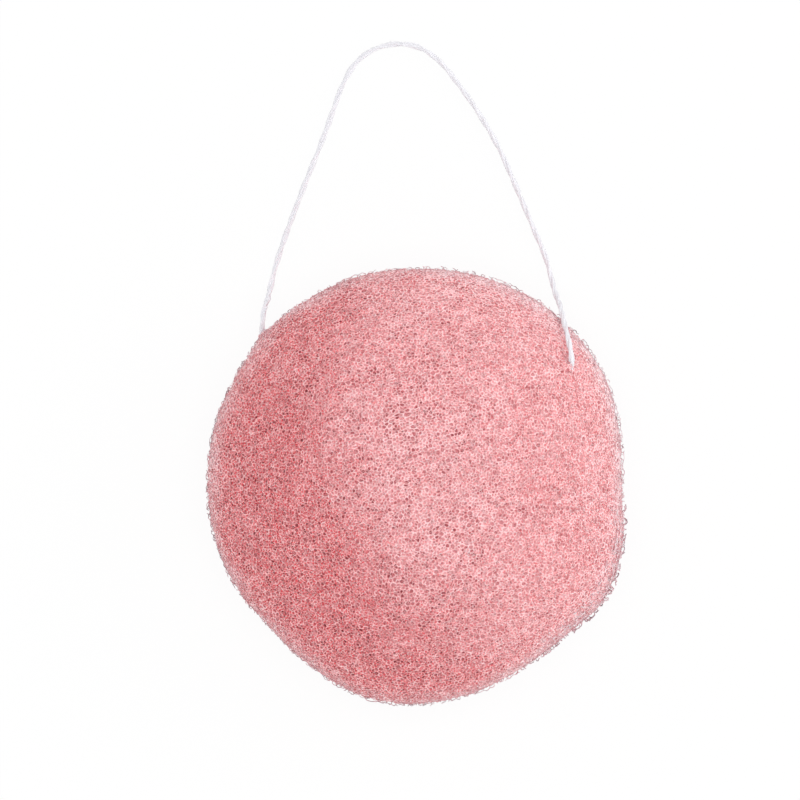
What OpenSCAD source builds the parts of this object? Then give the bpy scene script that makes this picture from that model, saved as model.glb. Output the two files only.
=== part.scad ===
// Konjac puff: a half-ball of open-celled foam with a hanging string.
// It lies on its flat base with the dome up, and the string's loop lies on the table beyond it.
// The origin is under the middle of the puff's outline, on the table. +Y is the puff's long way.

/* [Foam puff] */
// Width of the puff, across the way that the string hangs
puff_w = 78.5; // [64:0.5:96]
// Length of the puff, along the way that the string hangs
puff_l = 82; // [66:0.5:100]
// Height of the dome above the flat base
puff_h = 36; // [30:0.5:46]
// Height at which the puff is widest
widest_z = 11; // [8:0.5:13]
// How far the side draws in from the widest ring to the flat base
tuck_in = 4; // [2:0.25:6]
// How far the crown of the dome stands to the right of the middle
crown_x = 3; // [0:0.5:6]
// How far the crown of the dome stands towards the string
crown_y = 1.5; // [0:0.5:5]
// How softly the dome rolls over into its flattened places
facet_soft = 6; // [3:0.5:9]

/* [String] */
// Thickness of the twisted cotton string
string_d = 1.1; // [0.8:0.1:1.6]
// Room round the string in the line that the needle left in the foam
channel_clear = 0.15; // [0.1:0.05:0.3]
// Radius of the string's bends inside the foam
bend_r = 3; // [2.5:0.25:4]
// How far the string stands straight out of each mouth
stand_out = 0.8; // [0.6:0.1:1.2]

/* [Knot] */
// How loosely the reef knot is drawn up: the gap between strings that lie side by side in it
knot_gap = 0.6; // [0.5:0.05:0.8]
// Length of the straight ends beyond the knot
tail_l = 1.5; // [1.2:0.1:3]
// Room between the knot and the foam that closes round it
knot_clear = 0.25; // [0.15:0.05:0.4]

/* [Hidden] */

// Depth of the flat cut under the base
foot_cut = 0.5;
// How far a cut runs past the foam
overrun = 4;
// Height of the string's lowest side above the table
lie_gap = 0.05;
// The places of the mouths and of the knot are rounded to this
place_step = 0.01;

// Radius of the puff's outline every 15 degrees, from +X towards +Y, as a share of the mean.
// It is flattened at the lower left and lower right, and drawn in a little on the right.
outline_shares = [0.963, 0.985, 1.02, 1.035, 1.035, 1.03, 1.02, 1.02, 1.015, 1.01, 0.99, 0.985,
    0.98, 0.975, 0.965, 0.95, 0.975, 1.01, 1.015, 1, 0.985, 0.99, 1.03, 1.005];
// Fullness of the dome: 2 is a plain ellipsoid, and more is fuller at the shoulder
dome_plan_share = 2.2;
dome_rise_share = 2;
// Fullness of the drawn-in side below the widest ring
tuck_share = 2.2;
// Flattened places on the dome. Each is the way that it faces in degrees, how far from the
// middle it starts as a share of the half width, its height there as a share of the puff's
// height, and its fall as a share of each millimetre outwards.
facet_shares = [[220, 0.42, 0.94, 0.66], [166, 0.55, 0.92, 0.78], [275, 0.66, 0.86, 0.74]];

// Way that the left mouth faces in degrees: it opens in the side, on the widest ring
left_mouth_turn = 135.5;
// Way that the right mouth lies in degrees, and how far out it opens in the dome
right_mouth_turn = 38;
right_mouth_share = 0.87;
// Place of the knot along the straight run between the mouths
knot_place_share = 0.5;
// The knot's reach to its outer crossings, its half width and the length over which its ends
// rise to the run, each as a share of the distance between two strings side by side
knot_reach_share = 2;
knot_width_share = 1.9;
knot_dip_share = 1.5;
// Where the knot's legs pass into its round turn, as a share of its reach
knot_round_share = 0.35;

around = 48;
side_rings = 5;
dome_rings = 15;
string_sides = 8;
bore_fn = 48;
rings_each = 2;
knot_rings_each = 3;

// The string's way along the table, from left to right, with its height over the table.
// The ends that join it to the two mouths are worked out below.
loop_route = [
    [-28.7, 31.2, 10.8], [-28.6, 32.6, 9.6], [-28.3, 33.8, 7.4], [-27.9, 35.2, 4.6],
    [-27.5, 37, 2.2], [-27, 39.2, 1], [-26.3, 42, 0.6], [-24.3, 48, 0.6], [-21.3, 56, 0.6],
    [-18.1, 64, 0.6], [-15.7, 70.5, 0.6], [-14, 75.2, 0.6], [-11.6, 79.4, 0.6],
    [-8.8, 81.8, 0.6], [-5.8, 83, 0.6], [-2.6, 83.3, 0.6], [0.4, 82.7, 0.6], [3.2, 81.1, 0.6],
    [5.6, 78.8, 0.6], [8.4, 75.2, 0.6], [11.9, 70.2, 0.6], [15.5, 64, 0.6], [18.8, 56.6, 0.6],
    [22, 49, 0.6], [24.2, 43.8, 0.6], [25.1, 40.8, 0.9], [25.7, 38.4, 2], [26.2, 36.6, 4],
    [26.6, 35.2, 6.8], [27, 34, 9.8], [27.2, 33, 12.6], [27.5, 31.6, 15.6], [27.8, 30, 18.2],
    [28.2, 28.2, 20.5], [28.5, 26.6, 22.3], [28.8, 25.2, 23.5]
];

half_mean = (puff_w + puff_l) / 4;

// A smooth closed line through the outline's shares
function cubic(a, b, c, d, t) =
    b + t * ((c - a) / 2 + t * ((2 * a - 5 * b + 4 * c - d) / 2 + t * (3 * b - a - 3 * c + d) / 2));
function outline_share(turn) =
    let (
        n = len(outline_shares), place = turn / 360 * n, i = floor(place), t = place - i
    )
    cubic(outline_shares[(i + n - 1) % n], outline_shares[i % n], outline_shares[(i + 1) % n],
        outline_shares[(i + 2) % n], t);
function heading(turn) = [cos(turn), sin(turn)];

plain_edge = [for (i = [0 : around - 1]) outline_share(i * 360 / around) * heading(i * 360 / around)];
edge_x = [for (p = plain_edge) p.x];
edge_y = [for (p = plain_edge) p.y];
edge_mid = [max(edge_x) + min(edge_x), max(edge_y) + min(edge_y)] / 2;
edge_scale = [puff_w / (max(edge_x) - min(edge_x)), puff_l / (max(edge_y) - min(edge_y))];

// The puff's widest line, brought to its true width and length round the origin
function edge(turn) =
    let (p = outline_share(turn) * heading(turn) - edge_mid)
    [p.x * edge_scale.x, p.y * edge_scale.y];

// The lower of two heights, rolled over softly where they meet
function soft_lower(a, b, soft) =
    let (near = max(soft - abs(a - b), 0)) min(a, b) - near * near / (4 * soft);
function facet_height(f, p) =
    f[2] * puff_h - f[3] * (p * heading(f[0]) - f[1] * half_mean);
function under_facets(z, p, i = 0) =
    i == len(facet_shares) ? z : under_facets(soft_lower(z, facet_height(facet_shares[i], p), facet_soft), p, i + 1);

// A point of the dome, from the way that it lies and its share of the way out
function dome_point(turn, share) =
    let (
        crown = [crown_x, crown_y],
        p = share * edge(turn) + (1 - share) * crown,
        rise = pow(1 - pow(share, dome_plan_share), 1 / dome_rise_share),
        z = widest_z + (puff_h - widest_z) * rise
    )
    [p.x, p.y, max(under_facets(z, p), widest_z)];
function side_point(turn, z) =
    let (
        low_share = (widest_z - z) / widest_z,
        p = edge(turn) * (1 - tuck_in / half_mean * pow(low_share, tuck_share))
    )
    [p.x, p.y, z];

turns = [for (i = [0 : around - 1]) i * 360 / around];
puff_rings = concat(
    [for (j = [0 : side_rings - 1]) [for (a = turns)
        side_point(a, -foot_cut + (widest_z + foot_cut) * sin(90 * j / side_rings))]],
    [for (j = [0 : dome_rings - 1]) [for (a = turns)
        dome_point(a, pow(cos(90 * j / dome_rings), 2 / dome_plan_share))]]
);
crown_point = dome_point(0, 0);

// Faces between rings of points, with a fan to a point or a flat cap at each end
function band_faces(rings, n) =
    [for (j = [0 : rings - 2]) for (i = [0 : n - 1]) let (k = (i + 1) % n)
        each [[j * n + i, (j + 1) * n + i, (j + 1) * n + k], [j * n + i, (j + 1) * n + k, j * n + k]]];
function fan_faces(first, n, tip) = [for (i = [0 : n - 1]) [first + i, tip, first + (i + 1) % n]];

// The string's way, as smooth points and the direction at each
function route_at(route, i) =
    i < 0 ? 2 * route[0] - route[1]
    : i >= len(route) ? 2 * route[len(route) - 1] - route[len(route) - 2]
    : route[i];
function smooth(route, each_n) = [
    for (i = [0 : len(route) - 2]) for (k = [0 : each_n - 1])
        cubic(route_at(route, i - 1), route[i], route[i + 1], route_at(route, i + 2), k / each_n),
    route[len(route) - 1]
];
function direction(path, i) =
    let (v = route_at(path, i + 1) - route_at(path, i - 1)) v / norm(v);
function ring_at(centre, way, r) =
    let (across = cross(way, [0, 0, 1]), u = across / norm(across), v = cross(u, way))
    [for (k = [0 : string_sides - 1])
        centre + r * (u * cos(k * 360 / string_sides) + v * sin(k * 360 / string_sides))];

module string_tube(path) {
    rings = [for (i = [0 : len(path) - 1]) ring_at(path[i], direction(path, i), string_d / 2)];
    last = (len(path) - 1) * string_sides;
    polyhedron(
        points = [for (r = rings) each r],
        faces = concat(
            band_faces(len(rings), string_sides),
            [[for (i = [0 : string_sides - 1]) i]],
            [[for (i = [0 : string_sides - 1]) last + string_sides - 1 - i]]
        )
    );
}

// Where the string goes in and out of the foam
function to_step(p) = [for (v = p) place_step * round(v / place_step)];
left_mouth = to_step(concat(edge(left_mouth_turn), [widest_z]));
right_mouth = to_step(dome_point(right_mouth_turn, right_mouth_share));
left_exit = left_mouth + [0, stand_out, 0];
right_exit = right_mouth + [0, stand_out, 0];
run_y = right_mouth.y - bend_r;
run_z = widest_z;
run_start = [left_mouth.x + bend_r, run_y, run_z];
run_end = [right_mouth.x - bend_r, run_y, run_z];

// The knot, from the string's thickness and how loosely it is drawn up
knot_pair = string_d + knot_gap;
knot_lift = knot_pair / 2;
knot_reach = knot_reach_share * knot_pair;
knot_half_w = knot_width_share * knot_pair;
knot_dip = knot_dip_share * knot_pair;
knot_end = knot_reach + knot_dip + tail_l;
knot_mid = to_step([
    run_start.x + knot_place_share * (run_end.x - run_start.x), run_y - knot_pair / 2, run_z
]);
pocket_r = norm([knot_reach / 2, knot_half_w]) + string_d / 2 + 2 * knot_clear;
pocket_half_w = knot_pair / 2 + string_d / 2 + knot_clear;
pocket_half_h = knot_lift + string_d / 2 + knot_clear;

// A straight length along +Z, and a quarter bend from the origin along +X that turns to +Y
module rod(r, l) {
    cylinder(r = r, h = l, $fn = bore_fn);
}
module quarter(r) {
    translate([0, bend_r, 0]) rotate([0, 0, -90])
        rotate_extrude(angle = 90, $fn = bore_fn) translate([bend_r, 0]) circle(r = r, $fn = bore_fn);
}

// The string's way inside the foam at each side, drawn at any radius
module left_way(r, past) {
    translate([left_mouth.x, run_y + bend_r, run_z]) rotate([-90, 0, 0])
        rod(r, left_exit.y - run_y - bend_r + past);
    translate(run_start) mirror([1, 0, 0]) quarter(r);
    translate(run_start) rotate([0, 90, 0]) rod(r, knot_mid.x - knot_end - run_start.x);
}
module right_way(r, past) {
    translate([knot_mid.x + knot_end, run_y, run_z]) rotate([0, 90, 0])
        rod(r, run_end.x - knot_mid.x - knot_end);
    translate(run_end) rotate([90, 0, 0]) quarter(r);
    translate([right_mouth.x, run_y, run_z + bend_r]) rod(r, right_mouth.z - run_z - 2 * bend_r);
    translate([right_mouth.x, run_y, right_mouth.z - bend_r]) rotate([0, -90, 0]) quarter(r);
    translate(right_mouth) rotate([-90, 0, 0]) rod(r, stand_out + past);
}

// One half of a reef knot: a string that comes in from the left, goes under and over the other
// half, turns back round it and leaves beside itself. Turned about Y it is the other half.
function knot_height(x) = knot_lift * cos(180 * x / knot_reach);
function knot_leg(x, side) =
    let (
        u = (x + knot_reach) / ((1 + knot_round_share) * knot_reach),
        s = knot_pair / 2
    )
    [x, side * (s + (knot_half_w - s) * (1 - cos(180 * u)) / 2), knot_height(x)];
function knot_turn(a) =
    let (x = knot_reach * (knot_round_share + (1 - knot_round_share) * cos(a)))
    [x, knot_half_w * sin(a), knot_height(x)];
function knot_lead(side) = [
    [-knot_end, side * knot_pair / 2, 0],
    [-knot_end + tail_l, side * knot_pair / 2, 0],
    [-knot_reach - knot_dip / 2, side * knot_pair / 2, -knot_lift / 2]
];
knot_legs = knot_reach * [-1, -0.5, 0, knot_round_share];
knot_strand = concat(
    knot_lead(1),
    [for (x = knot_legs) knot_leg(x, 1)],
    [for (a = [60 : -30 : -60]) knot_turn(a)],
    [for (i = [len(knot_legs) - 1 : -1 : 0]) knot_leg(knot_legs[i], -1)],
    [for (i = [2 : -1 : 0]) knot_lead(-1)[i]]
);

// The hollow that the foam leaves for the knot and its two cut ends
module knot_pocket() {
    bore_r = string_d / 2 + channel_clear;
    end_x = knot_end + knot_clear;
    translate(knot_mid) {
        translate([0, 0, -pocket_half_h]) cylinder(r = pocket_r, h = 2 * pocket_half_h, $fn = bore_fn);
        translate(-[knot_reach + knot_dip, pocket_half_w, pocket_half_h])
            cube(2 * [knot_reach + knot_dip, pocket_half_w, pocket_half_h]);
        for (side = [-1, 1])
            translate([-end_x, side * knot_pair / 2, 0]) rotate([0, 90, 0]) rod(bore_r, 2 * end_x);
    }
}

module sponge_body() {
    color("#eaa8ac")
    difference() {
        polyhedron(
            points = concat([for (r = puff_rings) each r], [crown_point]),
            faces = concat(
                band_faces(len(puff_rings), around),
                fan_faces((len(puff_rings) - 1) * around, around, len(puff_rings) * around),
                [[for (i = [0 : around - 1]) i]]
            )
        );
        translate([-puff_w, -puff_l, -overrun]) cube([2 * puff_w, 2 * puff_l, overrun]);
        left_way(string_d / 2 + channel_clear, overrun);
        right_way(string_d / 2 + channel_clear, overrun);
        knot_pocket();
    }
}

module string_loop() {
    color("#f4f2f6")
    string_tube([for (p = smooth(
        concat([left_exit, left_exit + [0, stand_out, 0]], loop_route,
            [right_exit + [0, stand_out, 0], right_exit]), rings_each))
        [p.x, p.y, max(p.z, string_d / 2 + lie_gap)]]);
}

module string_run_left() {
    color("#ece9ef") left_way(string_d / 2, 0);
}

module string_run_right() {
    color("#ece9ef") right_way(string_d / 2, 0);
}

module string_knot() {
    color("#ece9ef")
    translate(knot_mid) {
        string_tube(smooth(knot_strand, knot_rings_each));
        rotate([0, 180, 0]) string_tube(smooth(knot_strand, knot_rings_each));
    }
}

sponge_body();
string_loop();
string_run_left();
string_run_right();
string_knot();
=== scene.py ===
"""Konjac sponge: a half ball of open konjac foam with a lacy rim, hung on a loop of two-ply cotton string.

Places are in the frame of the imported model: +Z up, +Y towards the string, flat base on z = 0. Lengths are in
metres, or in millimetres where a docstring says so.
"""
from __future__ import annotations

import itertools
import logging
import math
from collections.abc import Callable
from dataclasses import dataclass, replace
from enum import Enum
from functools import partial

import bmesh
import bpy
import numpy as np
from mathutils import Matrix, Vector


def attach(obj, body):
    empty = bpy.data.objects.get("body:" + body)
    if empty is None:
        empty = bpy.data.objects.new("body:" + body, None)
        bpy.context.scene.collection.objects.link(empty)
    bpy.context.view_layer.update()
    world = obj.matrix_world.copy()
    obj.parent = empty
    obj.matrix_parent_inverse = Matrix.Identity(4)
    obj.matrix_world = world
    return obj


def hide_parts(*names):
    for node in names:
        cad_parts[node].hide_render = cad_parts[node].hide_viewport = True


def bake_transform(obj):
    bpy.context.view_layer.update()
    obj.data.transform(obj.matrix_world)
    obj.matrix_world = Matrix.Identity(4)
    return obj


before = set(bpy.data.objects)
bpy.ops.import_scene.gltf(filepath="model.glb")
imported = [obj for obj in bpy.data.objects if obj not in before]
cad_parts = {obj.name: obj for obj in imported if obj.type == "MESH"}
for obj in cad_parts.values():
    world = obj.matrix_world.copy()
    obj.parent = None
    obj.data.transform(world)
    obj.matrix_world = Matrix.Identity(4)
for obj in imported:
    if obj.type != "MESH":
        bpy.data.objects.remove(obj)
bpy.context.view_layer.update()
LOG = logging.getLogger("konjac_sponge")

Array = np.ndarray
Point = tuple[float, float, float]
Pair = tuple[float, float]
Face = tuple[int, int, int]
Noises = tuple[tuple[float, float, int], ...]
Material = bpy.types.Material
Mesh = bpy.types.Mesh
Node = bpy.types.Node
Object = bpy.types.Object
Socket = bpy.types.NodeSocket
Tree = bpy.types.NodeTree
Adder = Callable[..., Node]

MM = 0.001
FULL_TURN = 2 * math.pi
QUARTER_TURN = math.pi / 2
ROW = 0.87  # distance of the rows in a net of even triangles, as a share of a triangle's side
GEL_IOR = 1.38  # wet konjac gel, a little above water
WHITE = (1, 1, 1, 1)
UV_NAME = "OFBake"
TINY = 1e-9
ASKEW = (0.3, 0.2, 0.93)  # a direction that no stretch of the string runs along
HASH_AXES = (73856093, 19349663, 83492791)
HASH_SEED, HASH_STIR, HASH_REPEAT = 97531, 1274126177, 4096


class Body(Enum):
    """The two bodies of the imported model."""

    SPONGE = "sponge"
    LOOP = "loop"


class Mark(Enum):
    """Names of the attributes that the foam's geometry hands to its materials and maps."""

    PIT = "pit"
    WIDE = "wide"
    RIM = "rim"
    CELL = "cell"
    STRAND = "strand"
    NUMBER = "number"
    AHEAD = "ahead"
    ROUND = "round"


class Slot(Enum):
    """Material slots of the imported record."""

    FOAM = "konjac_foam"
    COTTON = "cotton_string"


# Helpers for numbers


def linear(colour: str) -> tuple[float, float, float, float]:
    """Turns an sRGB hex colour into the linear values that Blender's sockets take, by the sRGB standard.

    Args:
        colour: Six hex digits with a leading #.

    Returns:
        Linear red, green, blue, and an alpha of one.
    """
    values = [int(colour[i : i + 2], 16) / 255 for i in (1, 3, 5)]
    red, green, blue = (v / 12.92 if v <= 0.04045 else ((v + 0.055) / 1.055) ** 2.4 for v in values)
    return red, green, blue, 1.0


def soft_noise(points: Array, grain: float, seed: int) -> Array:
    """Smooth random field over space, the same on every run.

    Args:
        points: Places, one row each.
        grain: Width of one lump of the field.
        seed: Picks the field.

    Returns:
        One value from -1 to 1 for each place.
    """
    spots = points / grain
    low = np.floor(spots).astype(np.int64)
    part = spots - low
    ease = part * part * (3 - 2 * part)
    total = np.zeros(len(points))
    # Each corner of the grid round a place has its own value, by a hash, and the place takes their soft mean
    for corner in itertools.product((0, 1), repeat=3):
        at = (low + corner) % HASH_REPEAT
        mixed = seed * HASH_SEED
        for axis, factor in enumerate(HASH_AXES):
            mixed = mixed ^ (at[:, axis] * factor)
        mixed = ((mixed ^ (mixed >> 13)) * HASH_STIR) & 0xFFFFFFFF
        value = ((mixed >> 8) & 0xFFFF) / 32767.5 - 1
        weight = np.ones(len(points))
        for axis, end in enumerate(corner):
            weight = weight * (ease[:, axis] if end else 1 - ease[:, axis])
        total = total + value * weight
    return total


def mixed_noise(points: Array, layers: Noises) -> Array:
    """Sum of soft noises, each given by its strength, grain and seed."""
    return sum(strength * soft_noise(points, grain, seed) for strength, grain, seed in layers)


def smooth_step(values: Array, low: float, high: float) -> Array:
    """Rises from 0 at low to 1 at high without a kink."""
    part = np.clip((values - low) / (high - low), 0, 1)
    return part * part * (3 - 2 * part)


def smooth_curve(a: Array, b: Array, c: Array, d: Array, t: Array | float) -> Array:
    """Point at the share t from b to c, on the smooth curve through a, b, c and d."""
    return b + t * ((c - a) / 2 + t * ((2 * a - 5 * b + 4 * c - d) / 2 + t * (3 * b - a - 3 * c + d) / 2))


def lengths(rows: Array) -> Array:
    """Length of each row."""
    return np.linalg.norm(rows, axis=-1)


def polar(points: Array) -> tuple[Array, Array]:
    """Angle of each place from +X, seen from above, and its distance from the middle line."""
    return np.arctan2(points[:, 1], points[:, 0]), lengths(points[:, :2])


def unit(rows: Array) -> Array:
    """Gives each row a length of one."""
    return rows / lengths(rows)[:, None]


def spun(one: Array, two: Array, turn: Array) -> Array:
    """Directions between one and two, turned from the first towards the second."""
    return np.cos(turn)[:, None] * one + np.sin(turn)[:, None] * two


# Helpers for meshes


def mesh_of(name: str, points: Array, edges: list | Array, faces: list | Array) -> Object:
    """Makes a linked mesh object from plain lists.

    Args:
        name: Name of the piece and of its mesh.
        points: Corner places.
        edges: Loose edges, or none.
        faces: Corner numbers of each face, or none.

    Returns:
        The new object, at the origin.
    """
    mesh = bpy.data.meshes.new(name)
    mesh.from_pydata([tuple(p) for p in points], [tuple(e) for e in edges], [tuple(f) for f in faces])
    mesh.update()
    piece = bpy.data.objects.new(name, mesh)
    bpy.context.scene.collection.objects.link(piece)
    return piece


def read(items: bpy.types.bpy_prop_collection, name: str, width: int = 1, kind: type = np.float32) -> Array:
    """Reads one property of every item in a list of a mesh.

    Args:
        items: The mesh's points, corners or faces, or the values of an attribute.
        name: Name of the property.
        width: How many numbers one value has.
        kind: Type of the numbers.

    Returns:
        One row for each item, or one number for each where the width is one.
    """
    flat = np.empty(len(items) * width, dtype=kind)
    items.foreach_get(name, flat)
    return flat.reshape(-1, width) if width > 1 else flat


def point_values(mesh: Mesh, mark: Mark, values: Array) -> None:
    """Stores one number for each point of a mesh."""
    mesh.attributes.new(mark.value, "FLOAT", "POINT").data.foreach_set("value", values.astype(np.float32))


def lay_uv(mesh: Mesh, uv: Array) -> None:
    """Stores a UV map, with one row for each face corner."""
    mesh.uv_layers.new(name=UV_NAME).data.foreach_set("uv", uv.astype(np.float32).ravel())


def smoothed(mesh: Mesh) -> None:
    """Shades every face of a mesh smooth."""
    mesh.polygons.foreach_set("use_smooth", np.ones(len(mesh.polygons), dtype=bool))


# Helpers for node trees


def add_node(tree: Tree, kind: str, inputs: dict | list | None = None, **settings: object) -> Node:
    """Adds one node with its settings, and fills its inputs.

    Args:
        tree: Tree that gets the node.
        kind: Blender's name of the node type.
        inputs: Values in the order of the node's sockets, or by their names or numbers. A value may also be
            a socket to link from, or a node, which stands for its first output in use.
        settings: The node's own properties.

    Returns:
        The new node.
    """
    node = tree.nodes.new(kind)
    for name, value in settings.items():
        setattr(node, name, value)
    pairs = inputs.items() if isinstance(inputs, dict) else enumerate(inputs or [])
    for name, value in pairs:
        if isinstance(value, Node):
            value = next(socket for socket in value.outputs if socket.enabled)
        if isinstance(value, Socket):
            tree.links.new(value, node.inputs[name])
        else:
            node.inputs[name].default_value = value
    return node


def new_material(name: str) -> tuple[Material, Adder]:
    """Starts a material that has no nodes yet.

    Args:
        name: Name of the material.

    Returns:
        The material, and add_node for its tree.
    """
    material = bpy.data.materials.new(name)
    material.use_nodes = True
    material.node_tree.nodes.clear()
    return material, partial(add_node, material.node_tree)


def new_tree(name: str, sizes: dict[str, float | int]) -> tuple[Tree, Adder, Node]:
    """Starts a Geometry Nodes tree with a geometry input, a geometry output and named sizes.

    Args:
        name: Name of the tree.
        sizes: Name and starting value of each further input.

    Returns:
        The tree, add_node for it, and its input node.
    """
    tree = bpy.data.node_groups.new(name, "GeometryNodeTree")
    for way in ("INPUT", "OUTPUT"):
        tree.interface.new_socket("Geometry", in_out=way, socket_type="NodeSocketGeometry")
    for label, value in sizes.items():
        kind = "NodeSocketInt" if isinstance(value, int) else "NodeSocketFloat"
        tree.interface.new_socket(label, in_out="INPUT", socket_type=kind).default_value = value
    add = partial(add_node, tree)
    return tree, add, add("NodeGroupInput")


def close_tree(add: Adder, geometry: Node, material: Material) -> None:
    """Ends a Geometry Nodes tree in Realize Instances and Set Material.

    Args:
        add: Adds a node to the tree.
        geometry: The tree's last node.
        material: Finish of what it makes.
    """
    real = add("GeometryNodeRealizeInstances", [geometry])
    add("NodeGroupOutput", [add("GeometryNodeSetMaterial", {"Geometry": real, "Material": material})])


def grown(piece: Object, tree: Tree, sizes: dict[str, float | int], name: str) -> Object:
    """Runs a tree on a piece and keeps the result as a plain mesh.

    Args:
        piece: Starting mesh, which is removed.
        tree: Geometry Nodes tree.
        sizes: Value of each named input.
        name: Name of the finished piece.

    Returns:
        The finished piece, smooth and with no modifier.
    """
    modifier = piece.modifiers.new(tree.name, "NODES")
    modifier.node_group = tree
    for item in tree.interface.items_tree:
        if item.in_out == "INPUT" and item.name in sizes:
            modifier[item.identifier] = sizes[item.name]
    seen = piece.evaluated_get(bpy.context.evaluated_depsgraph_get())
    mesh = bpy.data.meshes.new_from_object(seen)
    old = piece.data
    bpy.data.objects.remove(piece)
    bpy.data.meshes.remove(old)
    mesh.name = name
    made = bpy.data.objects.new(name, mesh)
    bpy.context.scene.collection.objects.link(made)
    smoothed(mesh)
    return made


# Finishes


@dataclass(frozen=True)
class DyeAndShadeRamp:
    """How the colour pales from the lower left of the puff to its crown and right side: partly uneven dye, and
    partly painted shade, darker and redder low down and on the lower left, where the dome turns from the light.
    """

    way: Point = (1, 0.35, 1.5)
    span: Pair = (12 * MM, 54 * MM)

    def share(self, add: Adder, place: Socket) -> Node:
        """Adds the ramp to a material.

        Args:
            add: Adds a node to the material.
            place: Object coordinates.

        Returns:
            Node that gives 0 where the dye is strong and 1 where it is weak.
        """
        side = add("ShaderNodeVectorMath", [place, self.way], operation="DOT_PRODUCT")
        return add("ShaderNodeMapRange", [side, *self.span], interpolation_type="SMOOTHSTEP")


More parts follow.
